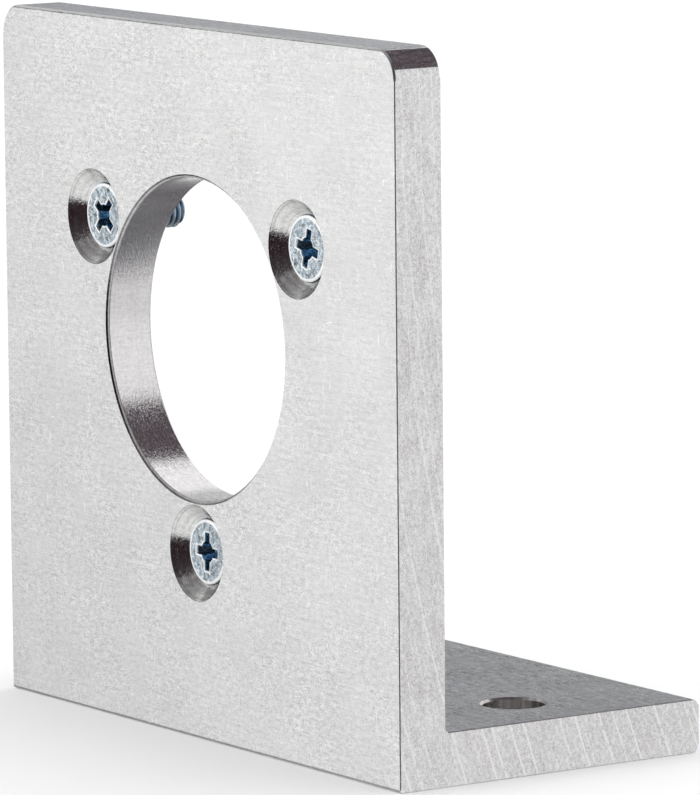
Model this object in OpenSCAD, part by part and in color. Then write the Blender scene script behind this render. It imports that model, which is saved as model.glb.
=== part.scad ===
// Angle bracket for a round sensor or encoder, with its countersunk screws.
// The plate stands up with its front face towards -Y, and the flange runs back along +Y.
// The origin lies under the middle of the bracket, at the height of its base.

/* [Angle] */
// Width of the bracket, which is the length cut off the angle profile
plate_w = 80; // [64:1:140]
// Height of the upright plate
plate_h = 80; // [68:1:140]
// Depth of the flange, measured from the front face
flange_d = 40; // [32:1:90]
// Wall of both legs
wall_t = 6; // [5:0.5:10]
// Radius of the plate's two upper corners
corner_r = 3.3; // [1:0.1:10]
// Radius of the flange's free edge, above and below
toe_r = 1; // [0.5:0.1:2]
// Radius outside, where the plate turns into the flange
heel_r = 0.4; // [0.4:0.1:3]
// Radius inside, between the plate and the flange
root_r = 0.4; // [0.3:0.1:4]
// Bevel that takes the burr off the sawn and milled edges
edge_break = 0.1; // [0.05:0.05:0.4]
// Bevel along the plate's top edges and round its upper corners
top_break = 0.2; // [0.1:0.05:0.5]

/* [Sensor seat] */
// Diameter of the sensor's centring collar
collar_d = 36; // [20:0.5:36]
// Play of the collar in the bore, on the diameter
collar_play = 0.2; // [0.05:0.05:0.3]
// Height of the sensor's axis above the base
axis_h = 45; // [38:1:58]
// Bevel at both ends of the bore
bore_bevel = 0.35; // [0.1:0.05:0.4]
// Diameter of the circle that the screws stand on
screw_circle_d = 48; // [48:0.5:56]
// Number of screws
screw_count = 3; // [3:1:6]
// Angle of the first screw, from +X towards +Z
first_screw_angle = 30; // [0:5:90]

/* [Screws] */
// Outer diameter of the screw's thread
thread_d = 4; // [3:0.5:5]
// Play of the thread in its hole, on the diameter
thread_play = 0.5; // [0.2:0.1:0.8]
// Length of screw that stands out behind the plate
screw_reach = 5.4; // [3:0.1:12]
// Bevel at the screw's end
tip_bevel = 0.4; // [0.2:0.05:0.8]
// How much thinner the plain neck under the head is than the thread, on the radius
neck_step = 0.25; // [0.1:0.05:0.4]
// Diameter of the screw's head
head_d = 7.3; // [6:0.1:7.4]
// Height of the straight band round the head
head_land = 0.35; // [0.2:0.05:0.4]
// Bevel round the head's face
head_bevel = 0.12; // [0.05:0.01:0.18]
// Depth of the head's face below the front of the plate
head_sink = 1.4; // [0.5:0.1:1.4]
// Gap between the head's cone and the countersink that it sits in
seat_gap = 0.05; // [0.02:0.01:0.1]
// Distance across the cross recess in the head
recess_span = 4.4; // [3:0.1:5]
// Width of each wing of the cross recess
recess_wing = 1; // [0.6:0.05:1.2]
// Diameter of the cross recess's round middle
recess_core_d = 2.2; // [1.6:0.1:2.4]
// Depth of the cross recess
recess_depth = 1.9; // [1:0.1:2.1]

/* [Base holes] */
// Diameter of the two holes in the flange
base_hole_d = 7; // [4:0.5:9]
// Distance of each hole's axis from the bracket's end
base_hole_margin = 10; // [7:0.5:20]
// Distance of the holes' axes from the front face
base_hole_y = 22; // [18:0.5:26]
// Bevel at both ends of the holes
base_hole_bevel = 0.27; // [0.1:0.01:0.5]

/* [Hidden] */
$fn = 96;

half_w = plate_w / 2;
bore_r = (collar_d + collar_play) / 2;
thread_r = thread_d / 2;
neck_r = thread_r - neck_step;
thread_hole_r = (thread_d + thread_play) / 2;
head_r = head_d / 2;
// Head and countersink are 90 degree cones, so a millimetre of depth is a millimetre of radius
countersink_r = head_r + head_land + head_sink + seat_gap;
// Depths below the head's face: the back of the plate, where the thread starts, and the screw's end
thread_start = wall_t - head_sink;
screw_len = thread_start + screw_reach;
base_hole_x = half_w - base_hole_margin;
// Clockwise turns of the screws' recesses from the upright, seen from the front
recess_turns = [13, 40, 1.5];
// How far a cut runs past the surface that it starts on
over = 1;

// Turns a shape's Z axis to the depth of the bracket
module along_depth() {
    rotate([-90, 0, 0]) children();
}

// Turns a shape's Z axis to the width of the bracket, its X axis to the depth and its Y axis upwards
module along_width() {
    rotate([90, 0, 90]) children();
}

// Draws a shape at both ends of the bracket's width
module both_ends() {
    children();
    mirror([1, 0, 0]) children();
}

// Draws a shape at each screw, with its Z axis running from the front face into the plate
module at_screws() {
    for (i = [0 : screw_count - 1]) {
        angle = first_screw_angle + i * 360 / screw_count;
        translate([screw_circle_d / 2 * cos(angle), 0, axis_h + screw_circle_d / 2 * sin(angle)])
            along_depth()
                rotate(recess_turns[i % len(recess_turns)])
                    children();
    }
}

// A hole of radius r through a wall, bevelled at both faces
module bevelled_hole(r, wall, bevel) {
    rotate_extrude()
        polygon([
            [0, -over],
            [r + bevel + over, -over],
            [r, bevel],
            [r, wall - bevel],
            [r + bevel + over, wall + over],
            [0, wall + over]
        ]);
}

// A thread's clearance hole under a 90 degree countersink
module countersunk_hole() {
    rotate_extrude()
        polygon([
            [0, -over],
            [countersink_r + over, -over],
            [thread_hole_r, countersink_r - thread_hole_r],
            [thread_hole_r, wall_t + over],
            [0, wall_t + over]
        ]);
}

// What a bevel takes off a straight edge that runs up from the origin
module edge_cut(length, bevel = edge_break) {
    linear_extrude(height = length)
        rotate(45)
            square(bevel * sqrt(2), center = true);
}

// What rounding takes off an edge that runs up from the origin, with the rounding's two ends bevelled.
// The material lies on the -X and -Y side of the edge.
module round_corner_cut(r, length, bevel = edge_break) {
    end_break = min(bevel, r / 2);
    difference() {
        translate([-r, -r, -over])
            cube([r + over, r + over, length + 2 * over]);
        translate([-r, -r, 0])
            rotate_extrude()
                polygon([
                    [0, -2 * over],
                    [r - end_break, -2 * over],
                    [r - end_break, 0],
                    [r, end_break],
                    [r, length - end_break],
                    [r - end_break, length],
                    [r - end_break, length + 2 * over],
                    [0, length + 2 * over]
                ]);
    }
}

// Rounds an edge that runs along the width, at this depth and height; turn points the cut outwards
module round_long_edge(depth, height, turn, r) {
    translate([-half_w, depth, height])
        along_width()
            rotate(turn)
                round_corner_cut(r, plate_w);
}

// The angle's section: the plate, the flange and the radius between them
module profile() {
    difference() {
        polygon([
            [0, 0],
            [flange_d, 0],
            [flange_d, wall_t],
            [wall_t + root_r, wall_t],
            [wall_t, wall_t + root_r],
            [wall_t, plate_h],
            [0, plate_h]
        ]);
        translate([wall_t + root_r, wall_t + root_r])
            circle(root_r);
    }
}

// Breaks the edges of one sawn end
module sawn_end_cuts() {
    translate([half_w, 0, heel_r])
        edge_cut(plate_h - heel_r - corner_r);
    translate([half_w, wall_t, wall_t + root_r])
        edge_cut(plate_h - wall_t - root_r - corner_r);
    translate([half_w, heel_r, 0])
        along_depth() edge_cut(flange_d - heel_r - toe_r);
    translate([half_w, wall_t + root_r, wall_t])
        along_depth() edge_cut(flange_d - wall_t - root_r - toe_r);
    translate([half_w, flange_d, toe_r])
        edge_cut(wall_t - 2 * toe_r);
    translate([half_w - edge_break, wall_t + root_r, wall_t + root_r])
        rotate([0, 90, 0])
            rotate_extrude()
                polygon([
                    [0, 0],
                    [root_r, 0],
                    [root_r + edge_break, edge_break],
                    [root_r + edge_break, edge_break + over],
                    [0, edge_break + over]
                ]);
    translate([half_w, wall_t, plate_h])
        rotate([90, 0, 0])
            round_corner_cut(corner_r, wall_t, top_break);
}

// Breaks the plate's two top edges
module top_edge_cuts() {
    for (depth = [0, wall_t])
        translate([corner_r - half_w, depth, plate_h])
            rotate([0, 90, 0])
                edge_cut(plate_w - 2 * corner_r, top_break);
}

// Everything that is drilled: the centring bore, the countersunk holes and the base holes
module drillings() {
    translate([0, 0, axis_h])
        along_depth() bevelled_hole(bore_r, wall_t, bore_bevel);
    at_screws() countersunk_hole();
    both_ends()
        translate([base_hole_x, base_hole_y, 0])
            bevelled_hole(base_hole_d / 2, wall_t, base_hole_bevel);
}

// A cross recess, cut into a face that lies at the origin
module cross_recess() {
    intersection() {
        rotate_extrude()
            polygon([
                [0, -over],
                [recess_span / 2, -over],
                [recess_span / 2, 0],
                [recess_core_d / 2, recess_depth],
                [0, recess_depth]
            ]);
        union() {
            for (turn = [0, 90])
                rotate(turn)
                    translate([-recess_span, -recess_wing / 2, -2 * over])
                        cube([2 * recess_span, recess_wing, recess_depth + 4 * over]);
            translate([0, 0, -2 * over])
                cylinder(h = recess_depth + 4 * over, d = recess_core_d);
        }
    }
}

// One countersunk screw, from its head's face at the origin down to its tip
module screw() {
    difference() {
        rotate_extrude()
            polygon([
                [0, 0],
                [head_r - head_bevel, 0],
                [head_r, head_bevel],
                [head_r, head_land],
                [neck_r, head_land + head_r - neck_r],
                [neck_r, thread_start - neck_step],
                [thread_r, thread_start],
                [thread_r, screw_len - tip_bevel],
                [thread_r - tip_bevel, screw_len],
                [0, screw_len]
            ]);
        cross_recess();
    }
}

module angle_bracket() {
    color("silver")
        translate([0, -flange_d / 2, 0])
            difference() {
                translate([-half_w, 0, 0])
                    along_width()
                        linear_extrude(height = plate_w) profile();
                round_long_edge(0, 0, 180, heel_r);
                round_long_edge(flange_d, 0, -90, toe_r);
                round_long_edge(flange_d, wall_t, 0, toe_r);
                top_edge_cuts();
                both_ends() sawn_end_cuts();
                drillings();
            }
}

module countersunk_screws() {
    color("lightsteelblue")
        translate([0, -flange_d / 2, 0])
            at_screws()
                translate([0, 0, head_sink])
                    screw();
}

angle_bracket();
countersunk_screws();
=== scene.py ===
"""Looks of the sensor mounting bracket: its aluminium, its threaded screws, the studio and the camera.

Shapes and materials are worked out in millimetres, and a mesh becomes metres where it is placed.
The studio and the camera are in metres and degrees.
"""

import math

import bmesh
import bpy
from mathutils import Matrix, Vector


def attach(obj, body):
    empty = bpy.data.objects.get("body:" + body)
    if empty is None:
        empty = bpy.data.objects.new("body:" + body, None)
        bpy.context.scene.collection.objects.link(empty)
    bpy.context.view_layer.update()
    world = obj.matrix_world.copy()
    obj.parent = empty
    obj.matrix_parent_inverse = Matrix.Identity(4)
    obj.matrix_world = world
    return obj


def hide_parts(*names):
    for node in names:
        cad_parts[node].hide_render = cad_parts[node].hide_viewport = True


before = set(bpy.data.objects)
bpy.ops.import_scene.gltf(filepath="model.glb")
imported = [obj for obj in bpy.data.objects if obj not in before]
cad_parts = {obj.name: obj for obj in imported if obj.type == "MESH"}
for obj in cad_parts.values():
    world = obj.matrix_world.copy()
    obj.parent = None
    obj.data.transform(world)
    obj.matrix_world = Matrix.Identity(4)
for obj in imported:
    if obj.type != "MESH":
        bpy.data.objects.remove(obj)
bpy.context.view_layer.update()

MM = 0.001

# The same sizes as the part's source
PLATE_H = 80
FLANGE_D = 40
AXIS_H = 45
BORE_R = 18.1
SCREW_CIRCLE_R = 24
SCREW_COUNT = 3
FIRST_SCREW_ANGLE = 30
RECESS_TURNS = (13, 40, 1.5)
HEAD_R = 3.65
HEAD_SINK = 1.4
HEAD_LAND = 0.35
SCREW_LEN = 10
COUNTERSINK_R = 5.45
BASE_HOLE_R = 3.5
BASE_HOLE_X = 30
BASE_HOLE_Y = 22
FRONT_Y = -FLANGE_D / 2

# Threads of an M4 screw
THREAD_R = 2.0
THREAD_ROOT_R = 1.57
THREAD_PITCH = 0.7
THREAD_START = 3.5
THREAD_RUN_IN = 0.9
NECK_R = 1.75
TIP_R = 1.5
SCREW_COLUMNS = 80
# Places along one pitch, each with its height from the thread's root, 0, to its crest, 1
THREAD_PROFILE = ((0.0, 1.0), (0.0875, 1.0), (0.306, 0.0), (0.394, -0.05), (0.481, 0.0))

# Cross recess, from the head's face down
RECESS_REACH = 2.15
RECESS_HALF_WING = 0.48
RECESS_CORE_R = 1.20
RECESS_DEPTH = 1.9
RECESS_LIP = 0.09
RECESS_FLOOR_DIP = 0.25
# How much narrower the recess's wings and its middle are at the floor
WING_TAPER = 0.12
CORE_TAPER = 0.15

# Rounding between the head's face and its straight band
HEAD_RIM = 0.14
# The attribute that marks the painted highlights along the edges of a screw's head
EDGE = "edge"
# Vertices nearer than this are one
WELD = 0.0005
SHARP_ANGLE = 34

# Y at which the screws' surfaces change
HEAD_FACE_Y = FRONT_Y + HEAD_SINK
RECESS_END_Y = FRONT_Y + 3.5
THREAD_SHOWS_Y = FRONT_Y + 5.5
SCREW_END_Y = HEAD_FACE_Y + SCREW_LEN

# How far from its axis each kind of hole's surface reaches, with its bevels
BORE_ZONE = BORE_R + 0.5
SINK_ZONE = COUNTERSINK_R + 0.05
HOLE_ZONE = BASE_HOLE_R + 0.3
RECESS_ZONE = 2.3
# The plate's two rounded corners lie outside this width and above this height
CORNER_X = 36.0
CORNER_Z = 76.0
# Width and height over which the corners' shading begins
CORNER_BLUR = 0.5
# Parts of the normal along an axis between which a surface comes to face straight along it,
# a rounded corner comes to count as the surface that it runs into, and the bore's bevel begins
SQUARE_ON = (0.97, 0.99)
CORNER_LEVEL = (0.93, 0.95)
CORNER_UPRIGHT = (0.93, 0.945)
BORE_BEVEL = (0.45, 0.60)
# The corner's own bevels at the faces lie beyond these, and aren't shaded as the corner
CORNER_BEVEL = (0.5, 0.3)
# Distances from the axis between which the bore's bevel turns from its inner to its outer part
BEVEL_MIDDLE = (BORE_R + 0.14, BORE_R + 0.20)
# Middle and half width of the fine painted dark lines along the countersinks, the top edge and the bore
SINK_LINE = (COUNTERSINK_R - 0.04, 0.09)
TOP_LINE = (PLATE_H - 0.27, 0.10)
BORE_LINE = (BORE_R + 0.02, 0.06)
# How far the corners' shading leans towards their slant
CORNER_LEAN = 0.85
# The saw's middle lies this far behind the origin, level with the plate's top
SAW_CENTRE_Y = 230
# X and Z of the smoothest part of the flat faces, and the distances between which it fades
POLISHED_AT = (42, 62)
POLISHED_REACH = (12, 48)
# Brightness of the aluminium before any marks
ALUMINIUM_LIGHT = 0.80

# Tints of the aluminium and colours of the zinc, as red, green, blue and alpha
FACE_TONE = (0.995, 1.0, 0.998, 1)
# The level faces' bluish tint is a painted reflection
LEVEL_REFLECTION_TONE = (0.975, 0.995, 1.03, 1)
END_TONE = (1.01, 1.01, 1.01, 1)
BLUSH_TONE = (0.975, 0.953, 0.965, 1)
MACHINED_TONE = (1.0, 0.98, 0.992, 1)
SINK_TONE = (0.97, 0.965, 0.96, 1)
DRILLED_TONE = (0.97, 0.93, 0.92, 1)
ZINC = (0.52, 0.59, 0.65, 1)
# The zinc in the recess and in the thread's valleys is darkened by painted shade
ZINC_SHADED_IN_RECESS = (0.13, 0.195, 0.27, 1)
ZINC_SHADED_IN_THREAD = (0.10, 0.18, 0.28, 1)
ZINC_EDGE_HIGHLIGHT = (0.97, 0.98, 1.0, 1)

# Depth of the finest marks, in metres, and their strength
BUMP_DEPTH = 0.00003
BUMP_STRENGTH = 0.6

# The camera of the photograph
CAMERA_AT = (0.64528, -0.43280, 0.14442)
CAMERA_AZIMUTH = 146.0977
CAMERA_DOWN = 7.8839
CAMERA_ROLL = -0.55
CAMERA_LENS = 314.793
SENSOR = 36

# The middle of the bracket, which the studio is built round
MIDDLE = Vector((0, 0, 0.045))
FLOOR_REACH = 6.0
# The floor and the panel that stands for the reflected shadow lie just under the bracket
FLOOR_Z = -0.00004
SHADOW_Z = -0.00008
# Strength of the white world for what is seen or reflected, and as light on rough surfaces
WORLD_SEEN = 1.0
WORLD_LIGHT = 1.12


# Camera

def add_camera():
    azimuth = math.radians(CAMERA_AZIMUTH)
    down = math.radians(CAMERA_DOWN)
    roll = math.radians(CAMERA_ROLL)
    level_part = math.cos(down)
    forward = Vector((math.cos(azimuth) * level_part, math.sin(azimuth) * level_part, -math.sin(down)))
    level = forward.cross(Vector((0, 0, 1))).normalized()
    upright = level.cross(forward)
    right = level * math.cos(roll) + upright * math.sin(roll)
    up = right.cross(forward)
    data = bpy.data.cameras.new("camera")
    data.lens = CAMERA_LENS
    data.sensor_width = SENSOR
    data.clip_start = 0.01
    data.clip_end = 50
    camera = bpy.data.objects.new("camera", data)
    axes = Matrix((right, up, -forward)).transposed().to_4x4()
    camera.matrix_world = Matrix.Translation(CAMERA_AT) @ axes
    bpy.context.scene.collection.objects.link(camera)
    bpy.context.scene.camera = camera


# Materials

class Graph:
    """A material's nodes, each added and linked in one call. An input is a number, tuple or socket."""

    def __init__(self, name):
        self.material = bpy.data.materials.new(name)
        self.material.use_nodes = True
        self.tree = self.material.node_tree
        self.tree.nodes.clear()

    def add(self, kind, inputs=None, output=0, **settings):
        node = self.tree.nodes.new(kind)
        for name, value in settings.items():
            setattr(node, name, value)
        for name, value in (inputs or {}).items():
            self.feed(node.inputs[name], value)
        return node.outputs[output]

    def feed(self, socket, value):
        if isinstance(value, bpy.types.NodeSocket):
            self.tree.links.new(value, socket)
        else:
            socket.default_value = value

    def coordinates(self):
        """The surface's position and its normal, both in the object's own axes."""
        node = self.tree.nodes.new("ShaderNodeTexCoord")
        return node.outputs["Object"], node.outputs["Normal"]

    def math(self, operation, a, b=0.0):
        return self.add("ShaderNodeMath", {0: a, 1: b}, operation=operation)

    def chain(self, operation, values):
        result = values[0]
        for value in values[1:]:
            result = self.math(operation, result, value)
        return result

    def times(self, *values):
        return self.chain("MULTIPLY", values)

    def plus(self, *values):
        return self.chain("ADD", values)

    def most(self, *values):
        return self.chain("MAXIMUM", values)

    def least(self, *values):
        return self.chain("MINIMUM", values)

    def absolute(self, value):
        return self.math("ABSOLUTE", value)

    def rest_of(self, value):
        """What is missing from value to 1."""
        return self.math("SUBTRACT", 1.0, value)

    def vector(self, operation, a, b=(0, 0, 0), output=0):
        return self.add("ShaderNodeVectorMath", {0: a, 1: b}, output, operation=operation)

    def scale(self, vector, factor):
        return self.add("ShaderNodeVectorMath", {0: vector, "Scale": factor}, operation="SCALE")

    def stretch(self, vector, x=1.0, y=1.0, z=1.0):
        """Multiplies each part. A factor under 1 draws a pattern out along that axis."""
        return self.vector("MULTIPLY", vector, (x, y, z))

    def point(self, x, y, z):
        return self.add("ShaderNodeCombineXYZ", {"X": x, "Y": y, "Z": z})

    def parts(self, vector):
        node = self.tree.nodes.new("ShaderNodeSeparateXYZ")
        self.feed(node.inputs[0], vector)
        return node.outputs

    def step(self, value, low, high, start=0.0, end=1.0):
        """Runs from start to end as value goes from low to high."""
        inputs = {"Value": value, "From Min": low, "From Max": high, "To Min": start, "To Max": end}
        return self.add("ShaderNodeMapRange", inputs, clamp=True)

    def within(self, value, edge, blur=0.1):
        """Is 1 up to an edge, and falls to 0 over the blur behind it."""
        return self.step(value, edge + blur, edge)

    def near(self, value, level, width):
        """Is 1 where value passes a level, and falls to 0 at width from it."""
        return self.step(self.absolute(self.math("SUBTRACT", value, level)), width, 0.0)

    def noise(self, vector, scale, detail, roughness):
        inputs = {"Vector": vector, "Scale": scale, "Detail": detail, "Roughness": roughness}
        return self.add("ShaderNodeTexNoise", inputs)

    def lines(self, value, scale, detail, roughness):
        """Noise along one number, which gives lines of uneven width."""
        inputs = {"W": value, "Scale": scale, "Detail": detail, "Roughness": roughness}
        return self.add("ShaderNodeTexNoise", inputs, noise_dimensions="1D")

    def chance(self, value):
        """A random number from 0 to 1 that stays the same for one value."""
        return self.add("ShaderNodeTexWhiteNoise", {"W": value}, noise_dimensions="1D")

    def centred(self, value, gain):
        """What a value that is 0.5 on the whole adds to another, times gain."""
        return self.times(self.plus(value, -0.5), gain)

    def blend(self, factor, a, b):
        """Goes from a to b, which are numbers, as factor goes from 0 to 1."""
        return self.add("ShaderNodeMix", {"Factor": factor, "A": a, "B": b}, data_type="FLOAT")

    def tint(self, factor, a, b):
        """Goes from colour a to colour b as factor goes from 0 to 1."""
        node = self.tree.nodes.new("ShaderNodeMix")
        node.data_type = "RGBA"
        self.feed(node.inputs["Factor"], factor)
        self.feed(node.inputs[6], a)
        self.feed(node.inputs[7], b)
        return node.outputs[2]

    def bump(self, height, **more):
        inputs = {"Height": height, "Distance": BUMP_DEPTH, "Strength": BUMP_STRENGTH, **more}
        return self.add("ShaderNodeBump", inputs)

    def add_output(self, shader):
        output = self.tree.nodes.new("ShaderNodeOutputMaterial")
        self.tree.links.new(shader, output.inputs["Surface"])

    def finish(self, **inputs):
        """Ends the graph in a Principled shader and returns the material."""
        shader = self.tree.nodes.new("ShaderNodeBsdfPrincipled")
        for name, value in inputs.items():
            self.feed(shader.inputs[name.replace("_", " ")], value)
        self.add_output(shader.outputs[0])
        return self.material


def distance_from(g, a, b, centre_a, centre_b):
    """Distance in millimetres from an axis, across it."""
    across = g.point(g.plus(a, -centre_a), g.plus(b, -centre_b), 0.0)
    return g.vector("LENGTH", across, output="Value")


def screw_places():
    """X and Z of each screw's axis."""
    places = []
    for i in range(SCREW_COUNT):
        angle = math.radians(FIRST_SCREW_ANGLE + i * 360 / SCREW_COUNT)
        places.append((SCREW_CIRCLE_R * math.cos(angle), AXIS_H + SCREW_CIRCLE_R * math.sin(angle)))
    return places


def distance_from_screw(g, x, z):
    """Distance in millimetres from the nearest screw's axis."""
    return g.least(*[distance_from(g, x, z, screw_x, screw_z) for screw_x, screw_z in screw_places()])


class BracketSurface:
    """Where a point of the bracket lies, and how far it belongs to each kind of surface, 0 to 1."""

    def __init__(self, g):
        place, self.normal = g.coordinates()
        self.position = g.scale(place, 1 / MM)
        self.x, self.y, self.z = g.parts(self.position)
        self.find_kinds(g)
        self.drawn = g.stretch(self.position, x=0.5)
        self.speckle = g.noise(self.drawn, scale=2.1, detail=4.0, roughness=0.8)
        self.grain = g.noise(self.drawn, scale=7.0, detail=1.0, roughness=0.5)
        # Turned marks run round an axis along the depth, so they only change along the depth
        self.turned = g.lines(self.y, scale=2.8, detail=3.0, roughness=0.8)

    def find_kinds(self, g):
        normal_x, normal_y, self.upwards = g.parts(self.normal)
        sideways = g.absolute(normal_x)
        forwards = g.absolute(normal_y)
        ends = g.step(sideways, *SQUARE_ON)
        level = g.step(g.absolute(self.upwards), *SQUARE_ON)
        self.faces = g.step(forwards, *SQUARE_ON)

        self.from_bore = distance_from(g, self.x, self.z, 0, AXIS_H)
        self.from_screw = distance_from_screw(g, self.x, self.z)
        from_hole = distance_from(g, g.absolute(self.x), self.y, BASE_HOLE_X, FRONT_Y + BASE_HOLE_Y)
        self.bore = g.times(g.within(self.from_bore, BORE_ZONE), g.rest_of(self.faces))
        self.sinks = g.times(g.within(self.from_screw, SINK_ZONE), g.rest_of(self.faces))
        self.drilled = g.times(g.within(from_hole, HOLE_ZONE), g.rest_of(level))
        self.bevel = g.times(self.bore, g.step(forwards, *BORE_BEVEL))
        self.outer_bevel = g.step(self.from_bore, *BEVEL_MIDDLE)

        out_wide = g.step(g.absolute(self.x), CORNER_X - CORNER_BLUR, CORNER_X)
        corners = g.times(out_wide, g.step(self.z, CORNER_Z - CORNER_BLUR, CORNER_Z))
        self.level = g.most(level, g.times(corners, g.step(self.upwards, *CORNER_LEVEL)))
        self.ends = g.most(ends, g.times(corners, g.step(sideways, *CORNER_UPRIGHT)))
        self.flat = g.most(self.ends, self.faces, self.level)
        self.corners = g.times(corners, g.rest_of(self.flat), g.step(forwards, *CORNER_BEVEL))


def scratches(g, x, z, angle, scale):
    """Short thin scratches that all run at one angle from the width."""
    a = math.radians(angle)
    along = g.plus(g.times(x, math.cos(a)), g.times(z, math.sin(a)))
    across = g.plus(g.times(x, -math.sin(a)), g.times(z, math.cos(a)))
    drawn = g.point(g.times(along, 0.2), across, 0.0)
    return g.step(g.noise(drawn, scale=scale, detail=1.0, roughness=0.5), 0.71, 0.79)


def mill_finish(g, s):
    """Brightness of the flat faces: speckle in uneven patches, and faint streaks along the width."""
    patches = g.noise(s.position, scale=0.22, detail=2.0, roughness=0.5)
    patches = g.step(patches, 0.35, 0.65, 0.7, 1.5)
    polished = g.step(distance_from(g, s.x, s.z, *POLISHED_AT), *POLISHED_REACH, 0.5, 1.0)
    patches = g.times(patches, g.blend(s.faces, 1.0, polished))
    speckle = g.plus(g.centred(s.speckle, 0.78), g.centred(s.grain, 0.50))
    streaks = g.noise(g.stretch(s.position, x=0.03), scale=4.5, detail=3.0, roughness=0.6)
    streaks = g.times(g.centred(streaks, 1.0), g.blend(s.level, 0.24, 0.6))
    return g.plus(g.times(speckle, patches), streaks)


def face_marks(g, s):
    """Painted sparkle highlights and nicks on the front and back of the plate, pits and soft clouds all
    over.
    """
    cloud = g.noise(s.position, scale=0.12, detail=3.0, roughness=0.6)
    painted_sparkle = g.step(g.noise(s.drawn, scale=4.6, detail=1.0, roughness=0.5), 0.68, 0.76)
    pits = g.step(g.noise(s.drawn, scale=2.6, detail=2.0, roughness=0.6), 0.27, 0.20)
    nicks = [scratches(g, s.x, s.z, angle, scale) for angle, scale in ((72, 2.2), (98, 1.9), (12, 2.5))]
    # The sparkles are painted highlights; the nicks are scratches
    bright = g.times(g.most(painted_sparkle, *nicks), 0.23, s.faces)
    return g.plus(g.centred(cloud, 0.15), bright, g.times(pits, -0.12))


def saw_lines(g, ring, position, spacing, width, patchy):
    """One thin frayed line in each stretch of the saw's rings, of random place and strength."""
    stretches = g.times(ring, 1 / spacing)
    number = g.math("FLOOR", stretches)
    place = g.step(g.chance(number), 0.0, 1.0, 0.15, 0.85)
    line = g.near(g.math("FRACT", stretches), place, width / spacing)
    strength = g.step(g.chance(g.plus(number, 0.5)), 0.15, 0.85)
    frayed = g.noise(position, scale=1.3, detail=2.0, roughness=0.7)
    return g.times(line, strength, g.step(frayed, patchy, patchy + 0.12))


class SawMarks:
    """Marks on the sawn ends: arcs round a point far behind the plate's top, and a patchy blush."""

    def __init__(self, g, s):
        ring = distance_from(g, s.y, s.z, SAW_CENTRE_Y, PLATE_H)
        waver = g.noise(s.position, scale=0.10, detail=1.0, roughness=0.5)
        self.ring = g.plus(ring, g.centred(waver, 0.8))
        low_down = g.step(s.z, 40.0, 8.0, 0.25, 1.0)
        deep_lines = saw_lines(g, self.ring, s.position, spacing=1.7, width=0.16, patchy=0.36)
        self.deep_lines = g.times(deep_lines, low_down)
        self.thin_lines = saw_lines(g, self.ring, s.position, spacing=0.6, width=0.12, patchy=0.47)
        blush = g.noise(g.stretch(s.position, z=0.4), scale=0.5, detail=3.0, roughness=0.6)
        self.blush = g.step(blush, 0.45, 0.65)


def sawn_finish(g, s, saw):
    """Brightness of the sawn ends."""
    fine_marks = g.lines(saw.ring, scale=2.6, detail=3.0, roughness=0.8)
    specks = g.step(g.noise(s.position, scale=3.1, detail=2.0, roughness=0.6), 0.38, 0.27)
    along_marks = g.point(saw.ring, g.times(s.z, 0.25), 0.0)
    saw_speckle = g.noise(along_marks, scale=2.4, detail=3.0, roughness=0.75)
    blush = g.times(saw.blush, g.step(s.z, 3.0, 12.0, 0.0, -0.05))
    speckle = g.plus(g.centred(s.speckle, 0.95), g.centred(s.grain, 0.66), g.centred(saw_speckle, 0.40))
    marks = g.plus(g.centred(fine_marks, 0.14), g.times(specks, -0.22))
    marks = g.plus(marks, g.times(saw.deep_lines, 0.56), g.times(saw.thin_lines, 0.11))
    return g.plus(speckle, marks, blush, 0.025)


def machined_finish(g, s, light):
    """Puts the brightness of the bore, countersinks, corners and base holes in place of light."""
    across = g.noise(g.stretch(s.position, y=0.14), scale=3.4, detail=3.0, roughness=0.7)
    bored = g.plus(g.times(across, 0.3), g.times(s.speckle, 0.5), g.times(s.turned, 0.2))
    sunk = g.plus(g.times(s.turned, 0.5), g.times(s.speckle, 0.5))
    # Painted shade on the countersinks' walls that face up
    shade_facing_up = g.step(s.upwards, 0.1, 0.5, 0.0, -0.17)
    hole_streaks = g.noise(g.stretch(s.position, z=0.12), scale=1.6, detail=3.0, roughness=0.7)
    light = g.blend(s.bore, light, g.centred(bored, 1.0))
    light = g.blend(s.sinks, light, g.plus(g.centred(sunk, 1.7), shade_facing_up))
    light = g.blend(s.corners, light, g.centred(across, 1.0))
    return g.blend(s.drilled, light, g.plus(g.centred(hole_streaks, 1.3), -0.20))


def painted_edge_lines(g, s):
    """Painted highlight and painted shade as fine lines along the edges that were broken."""
    at_front = g.step(s.y, FRONT_Y + 1.0, FRONT_Y + 0.5)
    rim = g.times(g.near(s.from_screw, *SINK_LINE), at_front, -0.22)
    top_bevel_highlight = g.times(g.step(s.z, PLATE_H - 0.19, PLATE_H - 0.17), g.rest_of(s.flat), 0.2)
    under_top = g.times(s.faces, g.near(s.z, *TOP_LINE), -0.65)
    bore_bevel_shading = g.times(s.bevel, g.blend(s.outer_bevel, 0.05, -0.55))
    bore_edge = g.times(s.bevel, g.near(s.from_bore, *BORE_LINE), -0.45)
    return g.plus(rim, top_bevel_highlight, under_top, bore_bevel_shading, bore_edge)


def aluminium_light(g, s, saw):
    """Brightness of every kind of surface, with its marks, painted shade and painted highlights."""
    light = g.blend(s.ends, mill_finish(g, s), sawn_finish(g, s, saw))
    light = machined_finish(g, s, light)
    # Painted shade: level surfaces are darker, and the flange's more so than the top
    level_painted_shade = g.times(s.level, g.step(s.z, 20.0, 70.0, -0.36, -0.17))
    return g.plus(light, face_marks(g, s), level_painted_shade, painted_edge_lines(g, s), ALUMINIUM_LIGHT)


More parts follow.
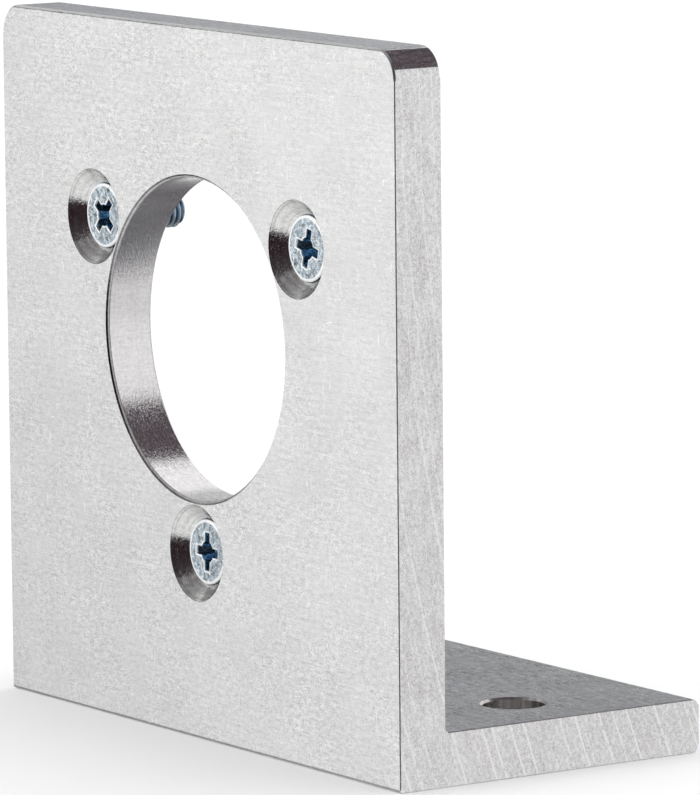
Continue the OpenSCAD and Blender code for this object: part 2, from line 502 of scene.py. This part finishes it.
def aluminium_tone(g, s, saw):
    """Tint of every kind of surface. A later one covers those before it."""
    # Painted reflection: the level faces take a bluish tint
    tone = g.tint(s.level, FACE_TONE, LEVEL_REFLECTION_TONE)
    tone = g.tint(s.ends, tone, g.tint(saw.blush, END_TONE, BLUSH_TONE))
    tone = g.tint(g.most(s.bore, s.corners), tone, MACHINED_TONE)
    tone = g.tint(s.sinks, tone, SINK_TONE)
    return g.tint(s.drilled, tone, DRILLED_TONE)


def aluminium_roughness(g, s):
    """Roughness of every kind of surface. A later one covers those before it."""
    milled = g.most(s.bore, s.corners)
    inner_bevel = g.times(s.bevel, g.rest_of(s.outer_bevel))
    kinds = ((s.faces, 0.42), (s.level, 0.58), (s.ends, 0.42), (milled, 0.11))
    kinds += ((s.sinks, 0.13), (inner_bevel, 0.7), (s.drilled, 0.28))
    rough = 0.30
    for kind, value in kinds:
        rough = g.blend(kind, rough, value)
    return g.plus(rough, g.times(g.centred(s.speckle, -0.3), s.flat))


def aluminium_normal(g, s, saw):
    """Fine relief. The corners were milled almost flat, so their shading leans towards the slant."""
    pocks = g.noise(g.stretch(s.position, y=1.6), scale=2.8, detail=3.0, roughness=0.7)
    pocks = g.times(g.step(pocks, 0.50, 0.78), g.blend(s.sinks, 0.7, 0.65))
    machined = g.most(s.bore, s.sinks, s.corners)
    tool_marks = g.times(g.plus(g.times(s.turned, 0.5), pocks), machined)
    speckle = g.times(s.speckle, g.blend(s.sinks, 1.0, 0.75))
    height = g.plus(speckle, g.times(saw.deep_lines, s.ends), tool_marks)
    diagonal = math.sqrt(0.5)
    slant = g.point(g.times(g.math("SIGN", s.x), diagonal), 0.0, diagonal)
    lean = g.times(s.corners, CORNER_LEAN)
    leant = g.vector("ADD", g.scale(s.normal, g.rest_of(lean)), g.scale(slant, lean))
    return g.bump(height, Normal=g.vector("NORMALIZE", leant))


def raw_aluminium():
    """Mill finish on the flat faces, saw marks on the ends, turned marks in bore and countersinks."""
    g = Graph("raw_aluminium_finish")
    s = BracketSurface(g)
    saw = SawMarks(g, s)
    colour = g.scale(aluminium_tone(g, s, saw), aluminium_light(g, s, saw))
    rough = aluminium_roughness(g, s)
    normal = aluminium_normal(g, s, saw)
    return g.finish(Base_Color=colour, Metallic=1.0, Roughness=rough, Normal=normal)


class ScrewSurface:
    """Where a point of a screw lies, and how far it belongs to each kind of surface, 0 to 1."""

    def __init__(self, g):
        place, normal = g.coordinates()
        self.position = g.scale(place, 1 / MM)
        x, y, z = g.parts(self.position)
        normal_x, normal_y = g.parts(normal)[:2]
        from_screw = distance_from_screw(g, x, z)
        self.face = g.within(y, HEAD_FACE_Y + 0.02, 0.06)
        inside = g.step(y, HEAD_FACE_Y + 0.08, HEAD_FACE_Y + 0.22)
        self.recess = g.times(inside, g.within(from_screw, RECESS_ZONE), g.within(y, RECESS_END_Y))
        # Painted light on the recess's steep walls, and painted shade on the sloping end walls of its
        # wings
        self.painted_lit_walls = g.times(self.recess, g.step(normal_y, -0.25, -0.12))
        sloping = g.times(g.step(normal_y, -0.2, -0.35), g.step(normal_x, 0.3, 0.6))
        self.painted_shaded_walls = g.times(self.recess, sloping, g.step(from_screw, 1.0, 1.3))
        behind_plate = g.step(y, THREAD_SHOWS_Y, THREAD_SHOWS_Y + 0.2)
        before_end = g.within(y, SCREW_END_Y - 0.3, 0.2)
        self.valleys = g.times(g.step(from_screw, 1.88, 1.64), behind_plate, before_end)


def zinc_plate():
    """Bright zinc with a faint blue tint, painted shade in its hollows, painted glints and painted
    white edges.
    """
    g = Graph("zinc_plate_finish")
    s = ScrewSurface(g)
    grain = g.noise(s.position, scale=6.0, detail=3.0, roughness=0.7)
    cloud = g.noise(s.position, scale=1.3, detail=3.0, roughness=0.6)
    mottle = g.noise(s.position, scale=1.7, detail=3.0, roughness=0.7)
    wrinkles = g.near(g.noise(s.position, scale=1.3, detail=2.0, roughness=0.6), 0.5, 0.045)
    wrinkles = g.times(wrinkles, g.step(cloud, 0.40, 0.52))
    glints = g.noise(g.stretch(s.position, x=0.6, z=1.6), scale=1.5, detail=1.0, roughness=0.5)
    glints = g.times(g.near(glints, 0.5, 0.09), s.recess, 2.2)

    on_face = g.times(g.plus(g.times(wrinkles, 0.9), g.centred(mottle, 2.2), -0.30), s.face)
    light = g.plus(g.centred(grain, 1.0), g.centred(cloud, 0.8), on_face, glints, 1.0)
    # Painted light on the recess's steep walls and painted shade on its sloping end walls
    light = g.times(light, g.blend(s.painted_lit_walls, 1.0, 2.0), g.blend(s.painted_shaded_walls, 1.0, 0.12))
    # Painted shade in the recess and in the thread's valleys
    colour = g.tint(s.recess, ZINC, ZINC_SHADED_IN_RECESS)
    colour = g.tint(s.valleys, colour, ZINC_SHADED_IN_THREAD)
    # A painted white highlight along the edges of the head and the recess's lip, broken up by the
    # mottle
    edge = g.add("ShaderNodeAttribute", output="Fac", attribute_name=EDGE)
    frayed = g.times(edge, g.step(mottle, 0.25, 0.45, 0.55, 1.0))
    colour = g.tint(frayed, g.scale(colour, light), ZINC_EDGE_HIGHLIGHT)

    rough = g.plus(g.blend(s.recess, 0.34, 0.22), g.centred(grain, -0.4))
    rough = g.blend(edge, rough, 0.30)
    normal = g.bump(g.plus(grain, cloud, g.times(wrinkles, s.face)))
    return g.finish(Base_Color=colour, Metallic=1.0, Roughness=rough, Normal=normal)


# Screws

def recess_loop(extra, depth, reach=RECESS_REACH, half_wing=RECESS_HALF_WING, core_r=RECESS_CORE_R):
    """One level of the cross recess: as many points as the screw has columns, crisp at each corner."""
    reach = reach + extra
    half_wing = half_wing + extra
    core_r = core_r + extra
    corner = math.atan2(half_wing, reach)
    meet = math.asin(half_wing / core_r)
    eighth = [corner * t for t in (0, 1 / 3, 2 / 3, 1)]
    eighth += [corner + (meet - corner) * t for t in (1 / 3, 2 / 3, 1)]
    eighth += [meet + (math.pi / 4 - meet) * t for t in (0.25, 0.5, 0.75, 1)]
    quarter = eighth + [math.pi / 2 - a for a in reversed(eighth[1:-1])]
    points = []
    for turn in range(4):
        for a in quarter:
            fold = min(a, math.pi / 2 - a)
            r = reach / math.cos(fold)
            if fold > 0:
                r = min(r, half_wing / math.sin(fold))
            r = max(r, core_r)
            angle = a + turn * math.pi / 2
            points.append((r * math.cos(angle), r * math.sin(angle), depth))
    return points


def circle_loop(r, depth):
    points = []
    for i in range(SCREW_COLUMNS):
        angle = 2 * math.pi * i / SCREW_COLUMNS
        points.append((r * math.cos(angle), r * math.sin(angle), depth))
    return points


def recess_loops():
    """Rings from the recess's floor up its walls and over its rounded lip, each with its painted
    highlight.
    """
    loops = []
    for share in (1.0, 0.8, 0.55, 0.3, 0.1):
        reach = RECESS_REACH + (RECESS_CORE_R + 0.02 - RECESS_REACH) * share
        half_wing = RECESS_HALF_WING * (1 - WING_TAPER * share)
        core_r = RECESS_CORE_R * (1 - CORE_TAPER * share)
        loops.append((recess_loop(0.0, RECESS_DEPTH * share, reach, half_wing, core_r), 0.0))
    for angle, bright in ((90, 0.4), (60, 1.0), (30, 1.0), (0, 1.0)):
        extra = RECESS_LIP * (1 - math.sin(math.radians(angle)))
        depth = RECESS_LIP * (1 - math.cos(math.radians(angle)))
        loops.append((recess_loop(extra, depth), bright))
    for width, bright in ((0.08, 1.0), (0.13, 0.0)):
        loops.append((recess_loop(RECESS_LIP + width, 0.0), bright))
    return loops


def head_loops():
    """Rings over the head's face and its rim, down the cone to the neck, each with its painted
    highlight.
    """
    loops = []
    for inset, bright in ((0.9, 0.0), (0.22, 0.0), (0.16, 1.0)):
        loops.append((circle_loop(HEAD_R - HEAD_RIM - inset, 0.0), bright))
    for step in range(5):
        angle = math.radians(step * 22.5)
        r = HEAD_R - HEAD_RIM + HEAD_RIM * math.sin(angle)
        loops.append((circle_loop(r, HEAD_RIM - HEAD_RIM * math.cos(angle)), 1.0))
    cone_end = HEAD_LAND + HEAD_R - NECK_R
    loops.append((circle_loop(HEAD_R, HEAD_LAND - 0.05), 0.3))
    loops.append((circle_loop(HEAD_R - 0.03, HEAD_LAND + 0.03), 0.0))
    loops.append((circle_loop(NECK_R + 0.08, cone_end - 0.08), 0.0))
    loops.append((circle_loop(NECK_R, cone_end + 0.06), 0.0))
    loops.append((circle_loop(NECK_R, THREAD_START), 0.0))
    return loops


def thread_radius(height, along):
    """Radius at a height of the thread's profile, faded in from the neck and cut by the tip's bevel."""
    radius = THREAD_ROOT_R + (THREAD_R - THREAD_ROOT_R) * height
    fade = min(1.0, max(0.0, (along - THREAD_START) / THREAD_RUN_IN))
    radius = NECK_R + (radius - NECK_R) * fade
    return min(radius, TIP_R + SCREW_LEN - along)


def add_rings(mesh, loops):
    """Joins rings of equal count by quads. Returns the vertices."""
    layer = mesh.verts.layers.float[EDGE]
    rings = []
    for loop, bright in loops:
        ring = [mesh.verts.new(p) for p in loop]
        for vertex in ring:
            vertex[layer] = bright
        rings.append(ring)
    for low, high in zip(rings, rings[1:]):
        for i in range(len(low)):
            j = (i + 1) % len(low)
            mesh.faces.new((low[i], low[j], high[j], high[i]))
    return rings


def add_cap(mesh, ring, centre):
    tip = mesh.verts.new(centre)
    for i in range(len(ring)):
        mesh.faces.new((ring[i], ring[(i + 1) % len(ring)], tip))


def thread_row(mesh, turn, start, height):
    """One row of the thread, which climbs a pitch in its turn round the screw."""
    row = []
    for i in range(SCREW_COLUMNS):
        share = i / SCREW_COLUMNS
        along = THREAD_START + (turn - 1 + share) * THREAD_PITCH + start
        along = min(max(along, THREAD_START), SCREW_LEN)
        r = thread_radius(height, along)
        angle = 2 * math.pi * share
        row.append(mesh.verts.new((r * math.cos(angle), r * math.sin(angle), along)))
    return row


def add_thread(mesh):
    """A helical ridge in rows that climb one pitch in a turn, so the crests stay sharp."""
    turns = int((SCREW_LEN - THREAD_START) / THREAD_PITCH) + 3
    rows = [thread_row(mesh, turn, *place) for turn in range(turns) for place in THREAD_PROFILE]
    last = SCREW_COLUMNS - 1
    shift = len(THREAD_PROFILE)
    for low in range(len(rows) - 1):
        for i in range(last):
            mesh.faces.new((rows[low][i], rows[low][i + 1], rows[low + 1][i + 1], rows[low + 1][i]))
        if low + 1 + shift < len(rows):
            ends = (rows[low + shift][0], rows[low + shift + 1][0])
            mesh.faces.new((rows[low][last], ends[0], ends[1], rows[low + 1][last]))


def place_copies(mesh):
    """Copies the one screw to each of its places and deletes the first."""
    first = mesh.verts[:]
    whole = first + mesh.edges[:] + mesh.faces[:]
    stand = Matrix.Rotation(math.radians(-90), 4, "X")
    for (x, z), turn in zip(screw_places(), RECESS_TURNS):
        copies = bmesh.ops.duplicate(mesh, geom=whole)["geom"]
        moved = [element for element in copies if isinstance(element, bmesh.types.BMVert)]
        place = Matrix.Translation((x, HEAD_FACE_Y, z))
        turned = Matrix.Rotation(math.radians(turn), 4, "Z")
        bmesh.ops.transform(mesh, matrix=Matrix.Scale(MM, 4) @ place @ stand @ turned, verts=moved)
    bmesh.ops.delete(mesh, geom=first, context="VERTS")


def add_screws(material):
    """The three screws as one object, in the places of their solids."""
    shape = bmesh.new()
    shape.verts.layers.float.new(EDGE)
    rings = add_rings(shape, recess_loops() + head_loops())
    add_cap(shape, rings[0][::-1], (0, 0, RECESS_DEPTH + RECESS_FLOOR_DIP))
    add_thread(shape)
    end = [shape.verts.new(p) for p in circle_loop(TIP_R, SCREW_LEN)]
    add_cap(shape, end, (0, 0, SCREW_LEN))
    bmesh.ops.remove_doubles(shape, verts=shape.verts, dist=WELD)
    bmesh.ops.recalc_face_normals(shape, faces=shape.faces)
    place_copies(shape)
    mesh = bpy.data.meshes.new("screws_threaded")
    shape.to_mesh(mesh)
    shape.free()
    mesh.materials.append(material)
    mesh.shade_smooth()
    mesh.set_sharp_from_angle(angle=math.radians(SHARP_ANGLE))
    screws = bpy.data.objects.new("screws_threaded", mesh)
    bpy.context.scene.collection.objects.link(screws)
    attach(screws, "root")
    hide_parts("countersunk_screws")


# Studio

def add_sheet(name, corners, material):
    mesh = bpy.data.meshes.new(name)
    mesh.from_pydata(corners, [], [tuple(range(len(corners)))])
    mesh.materials.append(material)
    sheet = bpy.data.objects.new(name, mesh)
    bpy.context.scene.collection.objects.link(sheet)
    return sheet


def level_rectangle(low_x, high_x, low_y, high_y, z):
    return [(low_x, low_y, z), (high_x, low_y, z), (high_x, high_y, z), (low_x, high_y, z)]


def add_floor():
    """Cameras and shadows see the floor. Reflections see the panels below instead."""
    g = Graph("floor_white")
    white = g.finish(Base_Color=(0.96, 0.96, 0.96, 1), Roughness=0.9, Specular_IOR_Level=0.0)
    corners = level_rectangle(-FLOOR_REACH, FLOOR_REACH, -FLOOR_REACH, FLOOR_REACH, FLOOR_Z)
    floor = add_sheet("floor", corners, white)
    floor.visible_glossy = False


def glow(name, low, high=None, direction=(0, 0, 1), start=0.0, end=1.0):
    """Light of a panel: one colour, or low at start to high at end, as metres along a direction."""
    g = Graph(name)
    colour = (*low, 1)
    if high:
        along = g.vector("DOT_PRODUCT", g.coordinates()[0], direction, "Value")
        colour = g.tint(g.step(along, start, end), colour, (*high, 1))
    g.add_output(g.add("ShaderNodeEmission", {"Color": colour, "Strength": 1.0}))
    return g.material


def floor_shadow():
    """The bracket's shadow on the floor behind it, as the bore reflects it. It is clear further out."""
    g = Graph("floor_shadow")
    x, y = g.parts(g.coordinates()[0])[:2]
    across = g.times(g.step(x, 0.03, -0.02), g.step(x, -0.13, -0.05))
    back = g.times(g.step(y, 0.08, 0.03), g.step(y, 0.0, 0.022))
    clear = g.add("ShaderNodeBsdfTransparent")
    shade = g.add("ShaderNodeEmission", {"Color": (0.10, 0.092, 0.096, 1)})
    g.add_output(g.add("ShaderNodeMixShader", {0: g.times(across, back), 1: clear, 2: shade}))
    return g.material


def add_panel(name, corners, material):
    """A panel of the studio that only reflections see, as a photographer has round shiny parts."""
    panel = add_sheet(name, corners, material)
    panel.visible_camera = False
    panel.visible_diffuse = False
    panel.visible_shadow = False
    panel.visible_transmission = False


def heading(azimuth, elevation=0.0):
    """Unit vector towards an azimuth and elevation in degrees."""
    a = math.radians(azimuth)
    e = math.radians(elevation)
    return Vector((math.cos(a) * math.cos(e), math.sin(a) * math.cos(e), math.sin(e)))


def facing(azimuth, elevation, distance, width, height):
    """Corners of an upright panel that faces the bracket's middle from this direction."""
    outward = heading(azimuth, elevation)
    middle = MIDDLE + outward * distance
    sideways = Vector((0, 0, 1)).cross(outward).normalized() * (width / 2)
    upwards = outward.cross(sideways).normalized() * (height / 2)
    signs = ((-1, -1), (1, -1), (1, 1), (-1, 1))
    return [middle + sideways * a + upwards * b for a, b in signs]


def level_panel(height, places):
    """Corners of a level panel at this height over the middle, from azimuths and distances."""
    centre = MIDDLE + Vector((0, 0, height))
    return [centre + heading(azimuth) * distance for azimuth, distance in places]


def disc(radius, wide_radius=0.0, wide_part=()):
    """Places round a level panel, which may reach further out at some azimuths."""
    places = []
    for azimuth in range(-355, 5, 5):
        places.append((azimuth, wide_radius if azimuth in wide_part else radius))
    return places


def add_level_panels():
    """A dark panel above, a grey to pale one below, a white window and the shadow on the floor."""
    dark = (0.095, 0.078, 0.087)
    dim = (0.52, 0.52, 0.52)
    above = level_panel(height=1.25, places=disc(1.5, wide_radius=1.95, wide_part=range(-185, -110, 5)))
    light = glow("glow_above", dark, dim, direction=heading(-146), start=0.1, end=1.6)
    add_panel("panel_above", above, light)

    grey = (0.34, 0.35, 0.36)
    pale = (0.86, 0.86, 0.86)
    below = level_panel(height=-0.745, places=disc(1.6))
    light = glow("glow_below", grey, pale, direction=heading(-45), start=-1.4, end=0.2)
    add_panel("panel_below", below, light)

    white = (1.05, 1.05, 1.05)
    window = level_panel(height=1.24, places=((108, 0.75), (162, 0.75), (162, 1.75), (108, 1.75)))
    add_panel("panel_window", window, glow("glow_window", white))

    behind = level_rectangle(-0.25, 0.05, 0.0, 0.12, SHADOW_Z)
    add_panel("panel_behind", behind, floor_shadow())


def add_upright_panels():
    """Near-black beside the camera, bright ones for the two main faces, a grey one at the back."""
    black = (0.029, 0.018, 0.021)
    dim = (0.07, 0.06, 0.065)
    front = facing(azimuth=-62, elevation=6, distance=1.2, width=1.12, height=1.9)
    add_panel("panel_front", front, glow("glow_front", black, dim, start=0.1, end=1.0))

    dull = (0.20, 0.207, 0.204)
    bright = (1.40, 1.40, 1.39)
    slant = (heading(-56) * 0.85 + Vector((0, 0, 0.5))).normalized()
    left = facing(azimuth=-146, elevation=-7, distance=0.5, width=0.8, height=0.8)
    light = glow("glow_left", dull, bright, direction=slant, start=-0.185, end=0.13)
    add_panel("panel_left", left, light)

    low = (0.75, 0.745, 0.745)
    high = (0.90, 0.90, 0.90)
    right = facing(azimuth=34, elevation=-7, distance=0.5, width=0.9, height=0.9)
    add_panel("panel_right", right, glow("glow_right", low, high, start=-0.10, end=0.06))

    shade = (0.28, 0.29, 0.30)
    back = facing(azimuth=166, elevation=12, distance=1.2, width=0.75, height=1.3)
    add_panel("panel_back", back, glow("glow_back", shade))


def add_world():
    """White all round, and a little stronger as light on rough surfaces than where it is seen."""
    world = bpy.data.worlds.new("studio")
    world.use_nodes = True
    bpy.context.scene.world = world
    tree = world.node_tree
    tree.nodes.clear()
    background = tree.nodes.new("ShaderNodeBackground")
    background.inputs["Color"].default_value = (1, 1, 1, 1)
    output = tree.nodes.new("ShaderNodeOutputWorld")
    tree.links.new(background.outputs[0], output.inputs["Surface"])
    path = tree.nodes.new("ShaderNodeLightPath")
    seen = path.outputs["Is Camera Ray"]
    for name in ("Is Glossy Ray", "Is Transmission Ray"):
        either = tree.nodes.new("ShaderNodeMath")
        either.operation = "MAXIMUM"
        tree.links.new(seen, either.inputs[0])
        tree.links.new(path.outputs[name], either.inputs[1])
        seen = either.outputs[0]
    strength = tree.nodes.new("ShaderNodeMapRange")
    tree.links.new(seen, strength.inputs["Value"])
    strength.inputs["To Min"].default_value = WORLD_LIGHT
    strength.inputs["To Max"].default_value = WORLD_SEEN
    tree.links.new(strength.outputs[0], background.inputs["Strength"])


add_camera()
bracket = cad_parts["angle_bracket"]
bracket.material_slots[0].material = raw_aluminium()
add_screws(zinc_plate())
add_floor()
add_level_panels()
add_upright_panels()
add_world()

bpy.context.scene.view_settings.view_transform = "Standard"
